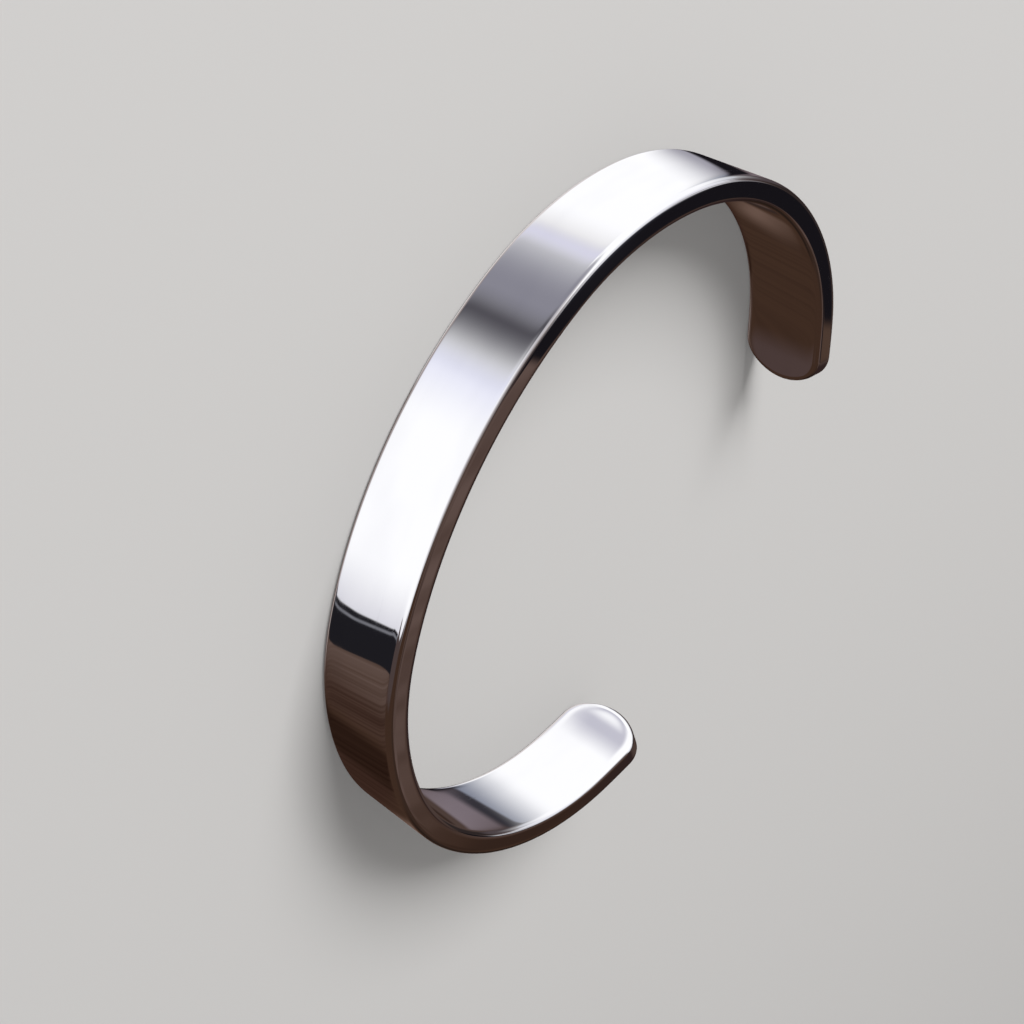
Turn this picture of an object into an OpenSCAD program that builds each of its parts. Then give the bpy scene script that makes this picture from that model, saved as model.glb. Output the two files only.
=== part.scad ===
// Open cuff bangle: one flat metal bar with softened edges and rounded tips, bent to an open oval.
// It lies on its lower rim. +Z is the wrist's axis, the back of the cuff is at +Y, and the mouth
// between the two tips opens towards -Y. The origin is under the middle of the cuff.

/* [Bar] */
// Width of the bar, which is the height of the cuff as it lies
bar_w = 8; // [8:0.5:14]
// Thickness of the bar
bar_t = 2.1; // [1.6:0.1:3]
// Radius of the softened edges, along the rims and round the tips
edge_r = 0.4; // [0.2:0.1:0.6]

/* [Bends] */
// Radius of the flat back, to the middle of the bar
back_r = 42; // [30:0.5:60]
// Radius of the shoulder between the back and the side, to the middle of the bar
shoulder_r = 24; // [20:0.5:28]
// Radius of the side that turns under the wrist, to the middle of the bar
side_r = 18.5; // [15:0.5:19.5]

/* [Tips] */
// Length of bar that stays straight at each end
tip_len = 5.5; // [5:0.5:8]
// Radius of the two corners of each tip, seen on the flat of the bar
tip_r = 2.5; // [1:0.1:3.5]

/* [Quality] */
// Facets in a full turn of a bend
bend_facets = 180; // [90:30:360]
// Facets in a full turn of a softened edge
edge_facets = 32; // [16:8:64]
// Facets in a full turn of a tip's corner or of its rounded end
corner_facets = 72; // [36:12:120]

/* [Hidden] */

// One bend hands over to the next on a line from its centre. These are the lines' directions on the
// right side of the cuff: 20.6, 53.1 and 143.1 degrees round from the back. Each is a unit vector
// with a short decimal, so that neighbouring bends meet exactly.
back_end = [0.352, 0.936];
shoulder_end = [0.8, 0.6];
side_end = [0.6, -0.8];

// Centres of the bends, with the middle of the back at the start. Bends that meet are tangent there.
back_c = [0, -back_r];
shoulder_c = back_c + (back_r - shoulder_r) * back_end;
side_c = shoulder_c + (shoulder_r - side_r) * shoulder_end;

// Where the straight tip starts, and the way it points
tip_start = side_c + side_r * side_end;
tip_way = [side_end[1], -side_end[0]];

// A tip's corner hands over to its rounded end on a line through both their centres. This is the
// line's direction, along the bar and across it, and the radius of the end follows from it.
corner_end = [0.8, 0.6];
end_r = (bar_w / 2 - (1 - corner_end[1]) * tip_r) / corner_end[1];

// How far the centre of a corner lies back from the end of the bar
corner_back = end_r - corner_end[0] * (end_r - tip_r);

// Furthest points of the cuff along Y: the outside of the back, and the outer edge of a tip
back_y = bar_t / 2;
tip_y = tip_start[1] + (tip_len - edge_r) * tip_way[1] + (bar_t / 2 - edge_r) * side_end[1] - edge_r;
middle_y = (back_y + tip_y) / 2;

// Reach of a sector's sides, well past the largest bend
sector_reach = 100;

// The four round corners of a bar's section, or the two at one end of it
module edge_dots(x, y) {
    for (corner_x = x, corner_y = y)
        translate([corner_x, corner_y]) circle(r = edge_r, $fn = edge_facets);
}

// Section across the bar: thickness along X, width along Y
module bar_section() {
    half_t = bar_t / 2 - edge_r;
    half_w = bar_w / 2 - edge_r;
    square([2 * half_t, bar_w], center = true);
    square([bar_t, 2 * half_w], center = true);
    edge_dots([-half_t, half_t], [-half_w, half_w]);
}

// Half section of a tip's rounding: from its centre out to the edge along X, thickness along Y
module round_section(r) {
    half_t = bar_t / 2 - edge_r;
    translate([0, -bar_t / 2]) square([r - edge_r, bar_t]);
    translate([0, -half_t]) square([r, 2 * half_t]);
    edge_dots([r - edge_r], [-half_t, half_t]);
}

// Pie slice round the origin, between two directions
module sector(from, to) {
    linear_extrude(2 * bar_w, center = true)
        polygon(sector_reach * [[0, 0], from, from + to, to]);
}

// Bar bent to a radius, from one direction round to another. The ring starts and ends on the left,
// where the sector leaves it out.
module bend(centre, r, from, to) {
    translate(centre) intersection() {
        rotate([0, 0, 180]) rotate_extrude($fn = bend_facets) translate([r, 0]) bar_section();
        sector(from, to);
    }
}

// Slice of a disc with a softened edge, between two directions, lying on the flat of the bar
module round_slice(r, from, to) {
    rotate([90, 0, 0]) intersection() {
        rotate([0, 0, 180]) rotate_extrude($fn = corner_facets) round_section(r);
        sector(from, to);
    }
}

// Straight end of the bar, along +X from its start, with a rounded end between two rounder corners
module tip() {
    rotate([90, 0, 90]) linear_extrude(tip_len - corner_back) bar_section();
    for (rim = [0, 1]) mirror([0, 0, rim])
        translate([tip_len - corner_back, 0, bar_w / 2 - tip_r]) round_slice(tip_r, [0, 1], corner_end);
    translate([tip_len - end_r, 0, 0]) round_slice(end_r, corner_end, [corner_end[0], -corner_end[1]]);
}

// Right side of the cuff: the shoulder, the side that turns under the wrist, and the tip
module right_side() {
    bend(shoulder_c, shoulder_r, back_end, shoulder_end);
    bend(side_c, side_r, shoulder_end, side_end);
    translate(tip_start) rotate([0, 0, atan2(tip_way[1], tip_way[0])]) tip();
}

// The whole cuff, one piece of polished steel
module cuff() {
    color([0.78, 0.79, 0.81]) translate([0, -middle_y, bar_w / 2]) {
        bend(back_c, back_r, [-back_end[0], back_end[1]], back_end);
        for (side = [0, 1]) mirror([side, 0, 0]) right_side();
    }
}

cuff();
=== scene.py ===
"""Looks of an open cuff bangle: one flat bar of mirror-polished steel, bent to an open oval.

It lies on its lower rim, with the wrist's axis along +Z, the back of the cuff at +Y and the mouth
between the two tips towards -Y. All lengths are in metres and all angles in degrees.
"""

import logging
import math
from dataclasses import dataclass, field
from enum import Enum
from typing import Any, TypeAlias

import bpy
from mathutils import Matrix, Vector


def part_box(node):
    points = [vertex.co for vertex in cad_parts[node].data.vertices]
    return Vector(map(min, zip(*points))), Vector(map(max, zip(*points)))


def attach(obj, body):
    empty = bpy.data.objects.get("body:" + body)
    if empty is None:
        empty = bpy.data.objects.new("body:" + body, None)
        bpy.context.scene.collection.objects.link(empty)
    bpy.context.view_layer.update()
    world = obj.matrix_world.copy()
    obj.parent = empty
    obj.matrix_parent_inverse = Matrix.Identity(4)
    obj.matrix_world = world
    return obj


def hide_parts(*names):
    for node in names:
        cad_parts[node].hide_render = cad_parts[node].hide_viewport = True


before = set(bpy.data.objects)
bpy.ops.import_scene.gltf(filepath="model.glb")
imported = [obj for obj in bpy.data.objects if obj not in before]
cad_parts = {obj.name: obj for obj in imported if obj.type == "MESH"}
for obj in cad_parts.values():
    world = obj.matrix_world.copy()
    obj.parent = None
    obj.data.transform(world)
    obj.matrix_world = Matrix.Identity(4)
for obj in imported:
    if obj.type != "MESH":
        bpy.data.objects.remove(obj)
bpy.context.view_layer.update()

LOG = logging.getLogger("cuff")
MM = 0.001
DEGREES = 180 / math.pi
PLACE_ATTRIBUTE = "bar_place"
HEADING_ATTRIBUTE = "heading"
NOISE_MIDDLE = 0.5
BLOCK_SIZE = (2.0, 2.0, 2.0)

# How a screen turns a level into light: in proportion up to the toe, and by a power past it
SCREEN_LEVELS = 255
SCREEN_TOE = 0.04045
SCREEN_TOE_DIVISOR = 12.92
SCREEN_OFFSET = 0.055
SCREEN_POWER = 2.4

Triple = tuple[float, float, float]
Range = tuple[float, float]
Colour = Triple
Number: TypeAlias = "float | Sock"


def screen_light(level: float) -> float:
    """Turns one level of a screen into linear light.

    Args:
        level: The level, 0 to 255.

    Returns:
        The light, 0 to 1.
    """
    share = level / SCREEN_LEVELS
    if share <= SCREEN_TOE:
        return share / SCREEN_TOE_DIVISOR
    return ((share + SCREEN_OFFSET) / (1 + SCREEN_OFFSET)) ** SCREEN_POWER


def tone(red: float, green: float, blue: float) -> Colour:
    """Turns a colour as a screen shows it, each level 0 to 255, into linear light."""
    return screen_light(red), screen_light(green), screen_light(blue)


class Sock:
    """An output of a node, whose arithmetic adds Math nodes to the same tree."""

    def __init__(self, graph: "Graph", socket: bpy.types.NodeSocket) -> None:
        """Keeps the tree's builder and the socket."""
        self.graph = graph
        self.socket = socket

    def math(self, operation: str, *others: Number) -> "Sock":
        """Adds a Math node that starts from this value.

        Args:
            operation: The Math node's operation.
            others: The values or sockets of its further inputs.

        Returns:
            The node's result.
        """
        return self.graph.maths(operation, self, *others)

    def __add__(self, other: Number) -> "Sock":
        """This plus other."""
        return self.math("ADD", other)

    __radd__ = __add__

    def __sub__(self, other: Number) -> "Sock":
        """This minus other."""
        return self.math("SUBTRACT", other)

    def __rsub__(self, other: float) -> "Sock":
        """Other minus this."""
        return self.graph.maths("SUBTRACT", other, self)

    def __mul__(self, other: Number) -> "Sock":
        """This times other."""
        return self.math("MULTIPLY", other)

    __rmul__ = __mul__

    def __truediv__(self, other: Number) -> "Sock":
        """This divided by other."""
        return self.math("DIVIDE", other)

    def __rtruediv__(self, other: float) -> "Sock":
        """Other divided by this."""
        return self.graph.maths("DIVIDE", other, self)

    def __pow__(self, exponent: float) -> "Sock":
        """This to a power."""
        return self.math("POWER", exponent)

    def __neg__(self) -> "Sock":
        """This with its sign turned."""
        return self.math("MULTIPLY", -1.0)

    def __abs__(self) -> "Sock":
        """This without its sign."""
        return self.math("ABSOLUTE")

    def rise(self, start: Number, end: Number, kind: str = "SMOOTHSTEP") -> "Sock":
        """Climbs from 0 to 1 as this value goes from start to end.

        Args:
            start: The value that gives 0.
            end: The value that gives 1.
            kind: The Map Range node's interpolation.

        Returns:
            The climb, held at 0 before start and at 1 after end.
        """
        sockets = {"Value": self, "From Min": start, "From Max": end}
        return self.graph.add("ShaderNodeMapRange", {"interpolation_type": kind}, sockets)

    def also(self, name: str) -> "Sock":
        """Another output of the same node, by its name."""
        outputs = self.socket.node.outputs
        return Sock(self.graph, next(s for s in outputs if s.enabled and s.name == name))


class Graph:
    """Builds a shader or geometry node tree, one expression at a time."""

    def __init__(self, tree: bpy.types.NodeTree) -> None:
        """Keeps the tree that the nodes go into."""
        self.tree = tree

    def add(
        self,
        kind: str,
        settings: dict[str, Any] | None = None,
        sockets: dict[str | int, Any] | None = None,
    ) -> Sock:
        """Adds a node, sets it up and feeds its sockets.

        Args:
            kind: The node's type.
            settings: The node's own properties, set before its sockets.
            sockets: Values or links by the socket's name, or by its number where names repeat.

        Returns:
            The node's first output, or its first input where it has no output.
        """
        node = self.tree.nodes.new(kind)
        for name, value in (settings or {}).items():
            setattr(node, name, value)
        for key, value in (sockets or {}).items():
            self._feed(node, key, value)
        shown = [s for s in node.outputs if s.enabled] or list(node.inputs)
        return Sock(self, shown[0])

    def maths(self, operation: str, *values: Number) -> Sock:
        """Adds a Math node.

        Args:
            operation: The node's operation.
            values: Its inputs in order, as numbers or sockets.

        Returns:
            The node's result.
        """
        return self.add("ShaderNodeMath", {"operation": operation}, dict(enumerate(values)))

    def vector(self, operation: str, *values: "Triple | Sock") -> Sock:
        """Adds a Vector Math node.

        Args:
            operation: The node's operation.
            values: Its inputs in order, as triples or sockets.

        Returns:
            The node's result.
        """
        return self.add("ShaderNodeVectorMath", {"operation": operation}, dict(enumerate(values)))

    def blend(self, share: Sock, first: "Colour | Sock", second: "Colour | Sock") -> Sock:
        """Mixes two colours.

        Args:
            share: How much of the second colour there is, 0 to 1.
            first: The colour where share is 0.
            second: The colour where share is 1.

        Returns:
            The mixed colour.
        """
        sockets = {"Factor": share, "A": first, "B": second}
        return self.add("ShaderNodeMix", {"data_type": "RGBA"}, sockets)

    def noise(self, place: Sock, scale: Triple, offset: Triple, detail: float = 2.0) -> Sock:
        """Adds smooth noise whose grain may be longer one way than another.

        Args:
            place: The coordinates that it follows.
            scale: Grains per unit of each of the three coordinates.
            offset: Where in the noise the pattern is taken from.
            detail: How many finer layers are added to it.

        Returns:
            The noise, from about 0.2 to 0.8.
        """
        grains = self.vector("MULTIPLY_ADD", place, scale, offset)
        return self.add("ShaderNodeTexNoise", {}, {"Vector": grains, "Scale": 1.0, "Detail": detail})

    def parts(self, vector: Sock) -> tuple[Sock, Sock, Sock]:
        """The three numbers of a vector."""
        x = self.add("ShaderNodeSeparateXYZ", {}, {0: vector})
        return x, x.also("Y"), x.also("Z")

    def triple(self, x: Number, y: Number, z: Number) -> Sock:
        """A vector of three numbers."""
        return self.add("ShaderNodeCombineXYZ", {}, {"X": x, "Y": y, "Z": z})

    def _feed(self, node: bpy.types.Node, key: str | int, value: Any) -> None:
        """Links or sets one input.

        Args:
            node: The node that is fed.
            key: The input's name, or its number.
            value: A socket to link, or the value to set.
        """
        if isinstance(key, int):
            target = node.inputs[key]
        else:
            target = next(s for s in node.inputs if s.enabled and s.name == key)
        if isinstance(value, Sock):
            self.tree.links.new(value.socket, target)
        elif target.type == "RGBA" and len(value) == 3:
            target.default_value = (*value, 1.0)
        else:
            target.default_value = value


def length(x: Sock, y: Sock) -> Sock:
    """Length of a flat vector."""
    return (x * x + y * y) ** 0.5


def blank_material(name: str) -> tuple[bpy.types.Material, Graph]:
    """Makes a material with an empty tree.

    Args:
        name: The material's name.

    Returns:
        The material and the builder of its tree.
    """
    made = bpy.data.materials.new(name)
    made.use_nodes = True
    made.node_tree.nodes.clear()
    return made, Graph(made.node_tree)


@dataclass(frozen=True)
class MirrorSteel:
    """Stainless steel polished to a mirror, with the faint marks that polishing and wear leave.

    Each scale gives the grains per metre along the bar, across it and through it. Each offset picks
    another stretch of the noise, and each range gives the noise at which a mark starts and is full.
    """

    colour: Colour = (0.80, 0.80, 0.815)
    roughness: float = 0.018

    line_scale: Triple = (160.0, 9000.0, 9000.0)
    line_offset: Triple = (3.0, 0.0, 0.0)
    line_roughness: float = 0.014
    line_height: float = 0.00006 * MM

    smear_scale: Triple = (90.0, 220.0, 220.0)
    smear_offset: Triple = (0.0, 7.0, 0.0)
    smear_range: Range = (0.45, 0.72)
    smear_colour: Colour = (0.765, 0.765, 0.785)
    smear_roughness: float = 0.022

    scratch_scale: Triple = (70.0, 14000.0, 14000.0)
    scratch_offset: Triple = (0.0, 0.0, 9.0)
    scratch_range: Range = (0.76, 0.82)
    scratch_roughness: float = 0.10
    scratch_height: float = 0.0002 * MM

    worn_scale: Triple = (140.0, 320.0, 320.0)
    worn_offset: Triple = (11.0, 5.0, 2.0)
    worn_range: Range = (0.5, 0.62)

    def material(self) -> bpy.types.Material:
        """Builds the finish.

        Returns:
            The material, which reads where a point lies on the bar from the piece's own attribute.
        """
        made, graph = blank_material("mirror polished steel")
        settings = {"attribute_type": "GEOMETRY", "attribute_name": PLACE_ATTRIBUTE}
        place = graph.add("ShaderNodeAttribute", settings).also("Vector")
        lines = graph.noise(place, self.line_scale, self.line_offset)
        smears = graph.noise(place, self.smear_scale, self.smear_offset).rise(*self.smear_range)
        scratches = self._scratches(graph, place)
        roughness = self.roughness + self.line_roughness * lines
        roughness = roughness + self.smear_roughness * smears + self.scratch_roughness * scratches
        height = self.line_height * lines - self.scratch_height * scratches
        bump = graph.add("ShaderNodeBump", {}, {"Strength": 1.0, "Distance": 1.0, "Height": height})
        sockets = {
            "Base Color": graph.blend(smears, self.colour, self.smear_colour),
            "Metallic": 1.0,
            "Roughness": roughness,
            "Normal": bump,
        }
        shader = graph.add("ShaderNodeBsdfPrincipled", {}, sockets)
        graph.add("ShaderNodeOutputMaterial", {}, {"Surface": shader})
        return made

    def _scratches(self, graph: Graph, place: Sock) -> Sock:
        """Sparse hairlines that run along the bar, only where it is worn.

        Args:
            graph: The material's tree.
            place: Where a point lies on the bar.

        Returns:
            1 on a hairline and 0 elsewhere, with a soft change between.
        """
        worn = graph.noise(place, self.worn_scale, self.worn_offset).rise(*self.worn_range)
        lines = graph.noise(place, self.scratch_scale, self.scratch_offset, detail=0.0)
        return lines.rise(*self.scratch_range) * worn


@dataclass(frozen=True)
class PaleFloorPaint:
    """Plain pale matt paint for the floor under the cuff."""

    colour: Colour = (0.62, 0.61, 0.60)
    roughness: float = 0.7

    def material(self) -> bpy.types.Material:
        """Builds the finish.

        Returns:
            The material.
        """
        made, graph = blank_material("pale floor paint")
        sockets = {"Base Color": self.colour, "Roughness": self.roughness}
        shader = graph.add("ShaderNodeBsdfPrincipled", {}, sockets)
        graph.add("ShaderNodeOutputMaterial", {}, {"Surface": shader})
        return made


@dataclass(frozen=True)
class Bend:
    """One bend of the bar: its radius to the middle of the bar, and how far round it goes."""

    radius: float
    turn: float

    @property
    def length(self) -> float:
        """Length of bar in the bend."""
        return self.radius * math.radians(self.turn)


@dataclass
class Cuff:
    """The cuff: a flat bar with softened edges and rounded tips, bent the same way to both sides.

    A tip is a crowned end between two corners. Its corners hand over to the end on a line through
    both their centres, and tip_join is that line's direction, along the bar and across it.
    """

    node: str = "cuff"
    thickness: float = 2.1 * MM
    edge_radius: float = 0.4 * MM
    finish: MirrorSteel = field(default_factory=MirrorSteel)

    # The bends, from the middle of the back to the tip, and the length over which they blend
    back: Bend = Bend(42 * MM, 20.6097)
    shoulder: Bend = Bend(24 * MM, 32.5204)
    side: Bend = Bend(18.5 * MM, 90.0)
    tip_curl: Bend = Bend(70 * MM, 4.0)
    bend_blend: float = 5 * MM

    tip_radius: float = 2.5 * MM
    tip_length: float = 5.5 * MM
    tip_join: tuple[float, float] = (0.8, 0.6)

    # How polishing wears the faces down towards their edges, and leaves them slightly wavy
    rolloff_depth: float = 0.02 * MM
    rolloff_width: float = 1.2 * MM
    rolloff_power: float = 3.0
    waviness: float = 0.003 * MM
    wave_scale: Triple = (90.0, 160.0, 1.0)
    wave_offset: Triple = (4.0, 2.0, 1.0)

    # How finely the bar is divided, and how much its rows crowd towards the rims
    path_points: int = 1267
    steps_per_tip: int = 16
    steps_per_half: int = 196
    steps_per_edge: int = 8
    steps_through: int = 22
    steps_across: int = 28
    row_crowding: float = 0.3

    def sizes(self) -> dict[str, float]:
        """Works out the bar's sizes from the frame and the fields.

        Returns:
            The values of the tree's inputs, by name.
        """
        low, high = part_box(self.node)
        width = high.z - low.z
        join_rise = self.tip_join[1]
        to_shoulder = self.back.length
        to_side = to_shoulder + self.shoulder.length
        to_tip = to_side + self.side.length
        half_length = to_tip + self.tip_length
        return {
            "Bar width": width,
            "Bar thickness": self.thickness,
            "Edge radius": self.edge_radius,
            "Tip radius": self.tip_radius,
            "End radius": (width / 2 - (1 - join_rise) * self.tip_radius) / join_rise,
            "Back radius": self.back.radius,
            "Shoulder radius": self.shoulder.radius,
            "Side radius": self.side.radius,
            "Length to shoulder": to_shoulder,
            "Length to side": to_side,
            "Length to tip": to_tip,
            "Length to curl": half_length - self.tip_curl.length,
            "Curl radius": self.tip_curl.radius,
            "Half length": half_length,
            "Bend blend": self.bend_blend,
            "Rolloff depth": self.rolloff_depth,
            "Rolloff width": self.rolloff_width,
            "Waviness": self.waviness,
            "Back line": high.y - self.thickness / 2,
            "Floor line": low.z,
        }

    def build(self) -> bpy.types.Object:
        """Makes the cuff as a plain mesh in the part's own frame.

        Returns:
            The finished piece, riding on the body and standing for the CAD solid. Its steel mirrors
            the studio's cards and not the cuff itself.
        """
        piece = bpy.data.objects.new("polished_cuff", bpy.data.meshes.new("polished_cuff"))
        bpy.context.scene.collection.objects.link(piece)
        steel = self.finish.material()
        tree = self._tree()
        modifier = piece.modifiers.new("bend the bar", "NODES")
        modifier.node_group = tree
        values = {**self.sizes(), "Steel": steel}
        for item in tree.interface.items_tree:
            if item.in_out == "INPUT":
                modifier[item.identifier] = values[item.name]
        evaluated = piece.evaluated_get(bpy.context.evaluated_depsgraph_get())
        mesh = bpy.data.meshes.new_from_object(evaluated)
        piece.modifiers.clear()
        piece.data = mesh
        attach(piece, "root")
        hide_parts(self.node)
        piece.visible_glossy = False
        return piece

    def _tree(self) -> bpy.types.NodeTree:
        """Builds the tree that bends the bar.

        Returns:
            The tree, with one input for each size and one for the finish.
        """
        tree = bpy.data.node_groups.new("bar bent to a cuff", "GeometryNodeTree")
        for name in self.sizes():
            tree.interface.new_socket(name=name, in_out="INPUT", socket_type="NodeSocketFloat")
        tree.interface.new_socket(name="Steel", in_out="INPUT", socket_type="NodeSocketMaterial")
        tree.interface.new_socket(name="Cuff", in_out="OUTPUT", socket_type="NodeSocketGeometry")
        graph = Graph(tree)
        first = graph.add("NodeGroupInput")
        size = {s.name: Sock(graph, s) for s in first.socket.node.outputs if s.name}
        path = self._path(graph, size)
        bar = self._bent_bar(graph, size, path)
        smooth = graph.add("GeometryNodeSetShadeSmooth", {}, {"Geometry": bar})
        realized = graph.add("GeometryNodeRealizeInstances", {}, {"Geometry": smooth})
        sockets = {"Geometry": realized, "Material": size["Steel"]}
        dressed = graph.add("GeometryNodeSetMaterial", {}, sockets)
        graph.add("NodeGroupOutput", {}, {"Cuff": dressed})
        return tree

    def _curvature(self, size: dict[str, Sock], along: Sock) -> Sock:
        """How sharply the bar is bent, in turns of one radian per metre.

        Args:
            size: The tree's inputs.
            along: Distance along the bar from the middle of its back.

        Returns:
            The curvature, easing from each bend into the next.
        """
        ease = size["Bend blend"] / 2
        bent = 1 / size["Back radius"]
        joins = (
            ("Length to shoulder", 1 / size["Shoulder radius"]),
            ("Length to side", 1 / size["Side radius"]),
            ("Length to tip", 0.0),
            ("Length to curl", 1 / size["Curl radius"]),
        )
        for name, following in joins:
            share = along.rise(size[name] - ease, size[name] + ease)
            bent = bent + share * (following - bent)
        return bent

    def _path(self, graph: Graph, size: dict[str, Sock]) -> Sock:
        """Lays out the right half of the bar's middle line, from the middle of its back.

        Args:
            graph: The tree's builder.
            size: The tree's inputs.

        Returns:
            The path as a curve, with the way that it heads kept as an attribute.
        """
        step = size["Half length"] / (self.path_points - 1)
        index = graph.add("GeometryNodeInputIndex")
        turn = self._curvature(size, (index + 0.5) * step) * step
        turned = graph.add("GeometryNodeAccumulateField", {"data_type": "FLOAT"}, {"Value": turn})
        turned = turned.also("Trailing")
        heading = -(turned + turn / 2)
        stride = graph.triple(heading.math("COSINE") * step, heading.math("SINE") * step, 0.0)
        settings = {"data_type": "FLOAT_VECTOR"}
        place = graph.add("GeometryNodeAccumulateField", settings, {"Value": stride}).also("Trailing")
        line = graph.add("GeometryNodeMeshLine", {}, {"Count": self.path_points})
        sockets = {"Geometry": line, "Name": HEADING_ATTRIBUTE, "Value": -turned}
        line = graph.add("GeometryNodeStoreNamedAttribute", {"data_type": "FLOAT"}, sockets)
        line = graph.add("GeometryNodeSetPosition", {}, {"Geometry": line, "Position": place})
        return graph.add("GeometryNodeMeshToCurve", {}, {"Mesh": line})

    def _bent_bar(self, graph: Graph, size: dict[str, Sock], path: Sock) -> Sock:
        """Shapes a finely divided block into the bar and bends it along the path.

        Args:
            graph: The tree's builder.
            size: The tree's inputs.
            path: The right half of the bar's middle line.

        Returns:
            The bent bar, which keeps each point's place on the straight bar as an attribute.
        """
        sockets = {
            "Size": BLOCK_SIZE,
            "Vertices X": 2 * self.steps_per_half + 1,
            "Vertices Y": self.steps_through + 1,
            "Vertices Z": self.steps_across + 1,
        }
        block = graph.add("GeometryNodeMeshCube", {}, sockets)
        along, through, across = graph.parts(graph.add("GeometryNodeInputPosition"))
        run, height, out = self._straight_bar(size, along, through, across)
        hand = along.math("SIGN")
        flat_place = graph.triple(hand * run, height, 0.0)
        wave = graph.noise(flat_place, self.wave_scale, self.wave_offset) - NOISE_MIDDLE
        out = out + size["Waviness"] * wave * through
        place = graph.triple(hand * run, height, out)
        sockets = {"Geometry": block, "Name": PLACE_ATTRIBUTE, "Value": place}
        block = graph.add("GeometryNodeStoreNamedAttribute", {"data_type": "FLOAT_VECTOR"}, sockets)
        heading = graph.add(
            "GeometryNodeInputNamedAttribute", {"data_type": "FLOAT"}, {"Name": HEADING_ATTRIBUTE}
        )
        settings = {"mode": "LENGTH", "data_type": "FLOAT"}
        sockets = {"Curves": path, "Value": heading, "Length": run}
        sampled = graph.add("GeometryNodeSampleCurve", settings, sockets)
        line_x, line_y, _ = graph.parts(sampled.also("Position"))
        bent = graph.triple(
            hand * (line_x - out * sampled.math("SINE")),
            line_y + out * sampled.math("COSINE") + size["Back line"],
            height + size["Bar width"] / 2 + size["Floor line"],
        )
        return graph.add("GeometryNodeSetPosition", {}, {"Geometry": block, "Position": bent})

    def _straight_bar(
        self, size: dict[str, Sock], along: Sock, through: Sock, across: Sock
    ) -> tuple[Sock, Sock, Sock]:
        """Turns a point of the block into a point of the straight bar.

        Args:
            size: The tree's inputs.
            along: The block's first coordinate, -1 to 1 from tip to tip.
            through: Its second coordinate, -1 inside the cuff to 1 outside.
            across: Its third coordinate, -1 to 1 from rim to rim.

        Returns:
            Distance from the middle of the back, height over the middle of the bar's width, and
            distance outwards from the middle of its thickness.
        """
        run_share = 1 - self.steps_per_tip / self.steps_per_half
        wall_share = 1 - 2 * self.steps_per_edge / self.steps_through
        join_run, join_rise = self.tip_join
        end_half = math.asin(join_rise)
        straight = abs(along).rise(0.0, run_share, "LINEAR")
        tip_share = abs(along).rise(run_share, 1.0, "LINEAR")
        corner = tip_share * (math.pi / 2 - end_half)
        wall = abs(through).rise(0.0, wall_share, "LINEAR")
        edge = abs(through).rise(wall_share, 1.0, "LINEAR") * (math.pi / 2)
        inset = size["Edge radius"] * (1 - edge.math("COSINE"))
        radius = size["Tip radius"] - inset
        end_middle = size["Half length"] - size["End radius"]
        corner_run = end_middle + join_run * (size["End radius"] - size["Tip radius"])
        corner_height = size["Bar width"] / 2 - size["Tip radius"]
        end_angle = across * end_half
        bulge = (size["End radius"] - inset) * (end_angle.math("COSINE") - join_run)
        run = straight * corner_run + radius * corner.math("SINE") + tip_share * bulge
        spread = across * (1 + self.row_crowding - self.row_crowding * across * across)
        spread = spread + tip_share * (end_angle.math("SINE") / join_rise - spread)
        height = spread * (corner_height + radius * corner.math("COSINE"))
        middle_run = run - end_middle
        in_end = (middle_run * join_rise).math("GREATER_THAN", abs(height) * join_run)
        past_run = run - corner_run
        past_height = abs(height) - corner_height
        past_corner = length(past_run.math("MAXIMUM", 0.0), past_height.math("MAXIMUM", 0.0))
        short_of_corner = past_run.math("MAXIMUM", past_height).math("MINIMUM", 0.0)
        from_rim = size["Tip radius"] - past_corner - short_of_corner
        from_end = size["End radius"] - length(middle_run, height)
        from_rim = (from_rim + in_end * (from_end - from_rim)) / size["Rolloff width"]
        drop = size["Rolloff depth"] * (1 - from_rim.math("MINIMUM", 1.0)) ** self.rolloff_power
        flat = size["Bar thickness"] / 2 - size["Edge radius"] - drop
        out = through.math("SIGN") * (flat * wall + size["Edge radius"] * edge.math("SINE"))
        return run, height, out


class Edge(Enum):
    """How wide the change is at the edge of a card, in degrees."""

    CRISP = 0.6
    NEAT = 1.4
    FIRM = 3.0
    SOFT = 8.0
    FEATHERED = 20.0
    FADED = 40.0


CRISP, NEAT, FIRM, SOFT, FEATHERED, FADED = Edge


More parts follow.
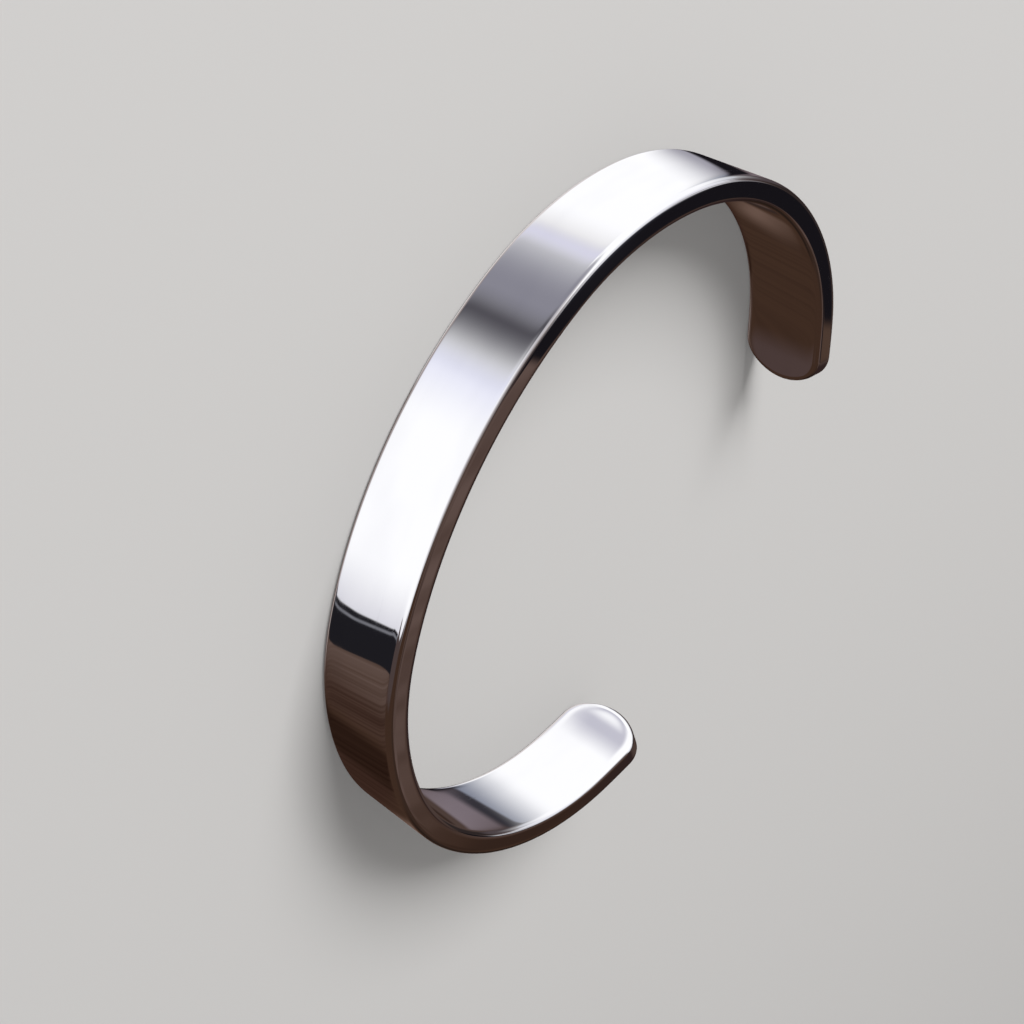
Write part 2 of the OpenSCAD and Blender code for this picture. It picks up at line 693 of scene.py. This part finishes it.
@dataclass(frozen=True)
class Card:
    """One card of the studio, as the polished steel mirrors it.

    It goes from start to end in azimuth, which is counted from +Y towards +X, and from low to high
    in elevation, or without end where these are left out. A card may lean: its sides then move in
    azimuth by start_lean and end_lean for each degree of elevation, within lean_reach of the
    elevation lean_about. Streaks of a second colour may run through it.
    """

    colour: Colour
    start: float
    end: float
    low: float | None = None
    high: float | None = None
    start_edge: Edge = SOFT
    end_edge: Edge = SOFT
    low_edge: Edge = FIRM
    high_edge: Edge = FIRM
    start_lean: float = 0.0
    end_lean: float = 0.0
    lean_about: float = -38.4
    lean_reach: float = 0.8
    streak: Colour | None = None

    def shade(self, graph: Graph, streaks: Sock) -> "Colour | Sock":
        """Colours the card.

        Args:
            graph: The world's tree.
            streaks: Where the studio's streaks are, 0 to 1.

        Returns:
            The card's colour, with its streaks where it has them.
        """
        if self.streak is None:
            return self.colour
        return graph.blend(streaks, self.colour, self.streak)

    def mask(self, azimuth: Sock, elevation: Sock) -> Sock:
        """Says where the card is.

        Args:
            azimuth: The direction's azimuth.
            elevation: Its elevation.

        Returns:
            1 on the card and 0 off it, with its edges between.
        """
        middle = (self.start + self.end) / 2
        start_blur, end_blur = self.start_edge.value / 2, self.end_edge.value / 2
        low_blur, high_blur = self.low_edge.value / 2, self.high_edge.value / 2
        from_middle = (azimuth - middle).math("WRAP", 180.0, -180.0)
        leaning = elevation - self.lean_about
        leaning = leaning.math("MAXIMUM", -self.lean_reach).math("MINIMUM", self.lean_reach)
        past_start = from_middle - (self.start - middle) - self.start_lean * leaning
        past_end = from_middle - (self.end - middle) - self.end_lean * leaning
        shown = past_start.rise(-start_blur, start_blur) * past_end.rise(end_blur, -end_blur)
        if self.low is not None:
            shown = shown * elevation.rise(self.low - low_blur, self.low + low_blur)
        if self.high is not None:
            shown = shown * elevation.rise(self.high + high_blur, self.high - high_blur)
        return shown


# The main tones that the cards show in the steel
WARM = tone(62, 44, 34)
BROWN = tone(72, 58, 53)
BLACK = tone(21, 19, 23)
INK = tone(28, 27, 31)
GREY = tone(134, 133, 143)
WHITE = tone(254, 254, 255)


@dataclass(frozen=True)
class Studio:
    """The plain soft light on the floor, and the cards that show only in the polished steel.

    Azimuth 0 is behind the back of the cuff, 90 on its right at +X and 180 past its mouth. Seen from
    the camera, the flat faces mirror cards below the horizon, the rim mirrors cards 25 to 50 degrees
    up, and the softened edges sweep through all that lies between.
    """

    plain_light: Colour = (1.0, 0.99, 0.98)
    plain_strength: float = 0.36
    card_gain: float = 1.25
    ceiling: Colour = tone(132, 123, 120)
    black_bar_end: float = -48.9

    streak_lean: float = -2.5
    streak_scale: Triple = (0.45, 0.05, 0.0)
    streak_offset: Triple = (0.0, 0.0, 0.0)
    streak_range: Range = (0.38, 0.66)

    lamp_power: float = 16.4
    lamp_size: float = 0.64
    lamp_distance: float = 1.2
    lamp_azimuth: float = 66.0
    lamp_elevation: float = 37.0

    def cards(self) -> list[Card]:
        """Lists the cards from the backmost to the foremost.

        Returns:
            The cards, with their colours as they show in the steel.
        """
        return [
            *self._brown_cards(),
            *self._cards_past_the_mouth(),
            *self._bright_cards_high_up(),
            *self._cards_on_the_right(),
            *self._white_screens(),
            *self._bands_at_the_back(),
            *self._rim_cards(),
            *self._cards_near_the_floor(),
        ]

    def _brown_cards(self) -> list[Card]:
        """Brown cards on the left, for the left side's outer face and the right end's inner face.

        Returns:
            The cards. The last two are dark ones for the softened edges alone.
        """
        return [
            Card(WARM, -184, -46, high=78, high_edge=FEATHERED, streak=tone(57, 40, 31)),
            Card(tone(48, 36, 32), -190, -168, high=-28, high_edge=FIRM),
            Card(tone(56, 38, 31), -168, -112, high=-34.6, high_edge=NEAT, streak=tone(48, 31, 24)),
            Card(tone(42, 27, 20), -119, -97, high=-34.4, high_edge=NEAT, streak=tone(34, 20, 14)),
            Card(tone(68, 50, 42), -93, -58, high=-34.4, high_edge=NEAT, streak=tone(54, 37, 30)),
            Card(tone(94, 77, 70), -75, -58, high=-35, start_edge=FEATHERED, streak=tone(78, 61, 53)),
            Card(tone(106, 85, 75), -163, -142, low=-34.2, high=-32.9, end_edge=FEATHERED,
                 low_edge=NEAT, start_lean=8, end_lean=8, lean_about=-33.5, lean_reach=6),
            Card(tone(74, 59, 56), -70.5, -58, low=-33.5, high=-27, start_edge=FIRM),
            Card(tone(36, 26, 21), -172, -112, low=-10, high=22, start_edge=FEATHERED,
                 end_edge=FEATHERED, low_edge=FEATHERED, high_edge=SOFT),
            Card(tone(52, 38, 31), -147, -112, low=16, high=54, start_edge=FEATHERED,
                 end_edge=FEATHERED, low_edge=FEATHERED, high_edge=SOFT),
        ]

    def _cards_past_the_mouth(self) -> list[Card]:
        """Cards straight past the mouth, for the brown stretch of the rim on the left side.

        Returns:
            The cards.
        """
        return [
            Card(tone(44, 32, 31), 176, 196, low=-28, high=33, start_edge=FIRM),
            Card(tone(94, 77, 71), 176, 208, low=34.5, high=62, low_edge=SOFT, streak=tone(74, 58, 52)),
            Card(tone(50, 35, 28), 190, 206, low=29.8, high=32, low_edge=NEAT, high_edge=NEAT),
            Card(tone(62, 48, 43), 192, 203, low=40, high=49),
        ]

    def _bright_cards_high_up(self) -> list[Card]:
        """The grey card at the back, and bright cards high up for the edge along the outer face.

        Returns:
            The cards.
        """
        return [
            Card(GREY, 10, 62, high=62, high_edge=FEATHERED),
            Card(tone(184, 180, 183), -50, 62, low=30, high=72, low_edge=FEATHERED,
                 high_edge=FEATHERED),
            Card(tone(226, 226, 231), 58, 169, low=34, high=68, low_edge=FEATHERED,
                 high_edge=FEATHERED),
            Card(tone(44, 40, 44), 153, 184, low=60, high=78, end_edge=FEATHERED),
        ]

    def _cards_on_the_right(self) -> list[Card]:
        """Cards from the right to the mouth, for the right side's outer face and the left end.

        Returns:
            The cards, with the thin dark bar that the root of the left end mirrors.
        """
        return [
            Card(BROWN, 105, 183, low=-35, high=34, low_edge=NEAT, high_edge=SOFT),
            Card(tone(40, 28, 27), 140, 190, high=-34.8, high_edge=NEAT),
            Card(tone(152, 150, 160), 118, 156, high=-35, high_edge=NEAT),
            Card(tone(76, 67, 69), 118, 148, low=-30, high=28, low_edge=SOFT, high_edge=FEATHERED),
            Card(tone(128, 132, 146), 100, 133, low=-35, high=28, end_edge=FIRM, end_lean=-3.3,
                 lean_about=-32.3, lean_reach=4, low_edge=NEAT, high_edge=FEATHERED),
            Card(tone(119, 108, 114), 137, 169, low=-34.5, high=-31.3),
            Card(tone(52, 50, 56), 131.8, 141.5, low=-33.8, high=-26, start_edge=FIRM, start_lean=-3.3,
                 end_lean=-3.3, lean_about=-32.3, lean_reach=6, low_edge=FIRM),
            Card(tone(222, 222, 230), 98, 131, low=27, high=60, start_edge=FEATHERED,
                 low_edge=SOFT, high_edge=FEATHERED),
            Card(tone(84, 72, 74), 150, 157, low=33, high=48),
        ]

    def _white_screens(self) -> list[Card]:
        """The white screens on the right, and the black one beside them.

        Returns:
            The screens, with the pale patches that the left tip mirrors.
        """
        return [
            Card(WHITE, 58, 131.5, high=66, start_edge=FADED, end_edge=FADED, end_lean=-6,
                 lean_about=-36.4, lean_reach=2.6, high_edge=FEATHERED),
            Card(tone(213, 212, 228), 57, 63, high=-20),
            Card(WHITE, 54, 102, low=-34, high=66, end_edge=FEATHERED, high_edge=FEATHERED),
            Card(tone(193, 192, 203), 57.9, 60.7, low=-31.6, high=-28.9, start_edge=NEAT,
                 end_edge=FIRM, low_edge=NEAT, high_edge=NEAT),
            Card(BLACK, 146, 168, low=-38, high=-33.8, start_lean=-10, end_lean=-10, lean_about=-35.4,
                 lean_reach=6, high_edge=NEAT),
        ]

    def _bands_at_the_back(self) -> list[Card]:
        """The white screen at the back with its bands, and the black bar at its left end.

        Returns:
            The cards, for the outer face of the cuff's back.
        """
        bar_end = self.black_bar_end
        return [
            Card(WHITE, bar_end, 26, start_edge=CRISP, end_edge=FEATHERED, high=48, high_edge=FADED,
                 start_lean=1.3),
            Card(tone(227, 228, 244), 9, 18, high=30, start_edge=FEATHERED, high_edge=FEATHERED),
            Card(tone(212, 211, 218), bar_end, bar_end + 5.5, start_edge=CRISP, end_edge=FEATHERED,
                 high=48, high_edge=FADED, start_lean=1.3, end_lean=1.3),
            Card(tone(74, 72, 78), 21.2, 32.7, high=30, start_edge=FEATHERED, high_edge=FEATHERED),
            Card(INK, -62.3, bar_end, start_edge=CRISP, end_edge=CRISP, start_lean=2.6, end_lean=1.3,
                 high=-30),
            Card(tone(118, 118, 124), bar_end - 2.0, bar_end - 1.25, start_edge=CRISP,
                 end_edge=CRISP, start_lean=1.7, end_lean=1.7, high=-34),
            Card(tone(72, 60, 58), -64, -42.5, end_edge=NEAT, low=-33.5, high=40, low_edge=NEAT,
                 high_edge=FEATHERED),
        ]

    def _rim_cards(self) -> list[Card]:
        """The black card that the rim mirrors on the right side, with the cards round it.

        Returns:
            The cards.
        """
        return [
            Card(tone(44, 37, 36), 142, 168, low=-12, high=30, low_edge=FEATHERED,
                 high_edge=FEATHERED),
            Card(BLACK, 161, 181.6, low=26, high=50, end_edge=CRISP, end_lean=0.2, lean_about=38.3,
                 lean_reach=6, low_edge=SOFT),
            Card(tone(77, 59, 49), 175.5, 179, low=24, high=33, start_edge=CRISP, start_lean=0.4,
                 lean_about=30.1, lean_reach=2, low_edge=SOFT),
            Card(tone(205, 204, 208), 158, 169, low=38, high=62),
            Card(tone(50, 50, 57), 171, 176, low=38, high=60),
        ]

    def _cards_near_the_floor(self) -> list[Card]:
        """Cards far below the horizon, for the edges that turn down towards the floor.

        Returns:
            The cards.
        """
        return [
            Card(tone(92, 74, 66), -200, 200, high=-52, high_edge=FEATHERED),
            Card(tone(158, 148, 146), -92, 64, high=-49, start_edge=FEATHERED, end_edge=FADED,
                 high_edge=SOFT),
            Card(tone(212, 205, 203), 60, 182, high=-45, start_edge=FADED, high_edge=SOFT),
        ]

    def light(self) -> None:
        """Sets the world's plain light and cards, and hangs the soft lamp."""
        world = bpy.data.worlds.new("studio")
        world.use_nodes = True
        world.node_tree.nodes.clear()
        bpy.context.scene.world = world
        graph = Graph(world.node_tree)
        x, y, z = graph.parts(graph.add("ShaderNodeTexCoord").also("Generated"))
        azimuth = x.math("ARCTAN2", y) * DEGREES
        elevation = z.math("ARCSINE") * DEGREES
        upright = graph.triple(azimuth + self.streak_lean * elevation, elevation, 0.0)
        streaks = graph.noise(upright, self.streak_scale, self.streak_offset)
        streaks = streaks.rise(*self.streak_range)
        seen: Sock | Colour = self.ceiling
        for card in self.cards():
            seen = graph.blend(card.mask(azimuth, elevation), seen, card.shade(graph, streaks))
        sockets = {"Color": seen, "Strength": self.card_gain}
        cards = graph.add("ShaderNodeBackground", {}, sockets)
        sockets = {"Color": self.plain_light, "Strength": self.plain_strength}
        plain = graph.add("ShaderNodeBackground", {}, sockets)
        path = graph.add("ShaderNodeLightPath")
        off_floor = path.also("Diffuse Depth").math("MINIMUM", 1.0)
        mirrored = path.also("Is Glossy Ray") * (1 - off_floor)
        both = graph.add("ShaderNodeMixShader", {}, {0: mirrored, 1: plain, 2: cards})
        graph.add("ShaderNodeOutputWorld", {}, {"Surface": both})
        self._hang_lamp()

    def _hang_lamp(self) -> None:
        """Hangs the square soft lamp that throws the cuff's shadow."""
        light = bpy.data.lights.new("soft lamp", "AREA")
        light.size = self.lamp_size
        light.energy = self.lamp_power
        lamp = bpy.data.objects.new("soft lamp", light)
        away = direction(self.lamp_azimuth, self.lamp_elevation)
        lamp.location = away * self.lamp_distance
        lamp.rotation_mode = "QUATERNION"
        lamp.rotation_quaternion = away.to_track_quat("Z", "Y")
        lamp.visible_glossy = False
        bpy.context.scene.collection.objects.link(lamp)


def direction(azimuth: float, elevation: float) -> Vector:
    """A unit vector, with azimuth from +Y towards +X.

    Args:
        azimuth: Degrees round from +Y.
        elevation: Degrees over the floor.

    Returns:
        The vector.
    """
    around, up = math.radians(azimuth), math.radians(elevation)
    flat = math.cos(up)
    return Vector((math.sin(around) * flat, math.cos(around) * flat, math.sin(up)))


@dataclass(frozen=True)
class Floor:
    """The plain pale floor, which the polished steel doesn't mirror."""

    half_side: float = 3.0
    paint: PaleFloorPaint = PaleFloorPaint()

    def build(self) -> bpy.types.Object:
        """Makes the floor under the cuff.

        Returns:
            The floor.
        """
        reach = self.half_side
        corners = [(-reach, -reach, 0), (reach, -reach, 0), (reach, reach, 0), (-reach, reach, 0)]
        mesh = bpy.data.meshes.new("floor")
        mesh.from_pydata(corners, [], [(0, 1, 2, 3)])
        mesh.materials.append(self.paint.material())
        floor = bpy.data.objects.new("floor", mesh)
        floor.visible_glossy = False
        bpy.context.scene.collection.objects.link(floor)
        return floor


@dataclass(frozen=True)
class PhotoCamera:
    """The camera, at the angle to the cuff that the photograph has."""

    azimuth: float = 172.48
    elevation: float = 36.64
    roll: float = 119.86
    distance: float = 136.892 * MM
    aim: Vector = Vector((-2.134 * MM, 8.082 * MM, 4.0 * MM))
    lens: float = 61.196
    sensor: float = 36.0
    clip: Range = (0.005, 20.0)

    def build(self) -> bpy.types.Object:
        """Places the camera and makes it the scene's own.

        Returns:
            The camera.
        """
        data = bpy.data.cameras.new("camera")
        data.lens = self.lens
        data.sensor_width = self.sensor
        data.clip_start, data.clip_end = self.clip
        camera = bpy.data.objects.new("camera", data)
        back = direction(180 - self.azimuth, self.elevation)
        level = Vector((0, 0, 1)).cross(back).normalized()
        upright = back.cross(level)
        turn = math.radians(self.roll)
        right = math.cos(turn) * level + math.sin(turn) * upright
        up = back.cross(right)
        place = self.aim + back * self.distance
        rows = [(right[i], up[i], back[i], place[i]) for i in range(3)]
        camera.matrix_world = Matrix([*rows, (0, 0, 0, 1)])
        bpy.context.scene.collection.objects.link(camera)
        bpy.context.scene.camera = camera
        return camera


def main() -> None:
    """Builds the camera, the stage and the cuff, and reports each."""
    logging.basicConfig(level=logging.INFO, format="%(name)s: %(message)s")
    scene = bpy.context.scene
    scene.view_settings.view_transform = "Standard"
    camera = PhotoCamera().build()
    LOG.info("camera at %s", tuple(round(v, 4) for v in camera.matrix_world.translation))
    floor = Floor().build()
    LOG.info("%s: %.1f m square", floor.name, floor.dimensions.x)
    Studio().light()
    cuff = Cuff().build()
    LOG.info("%s: %d faces", cuff.name, len(cuff.data.polygons))


if __name__ == "__main__":
    main()
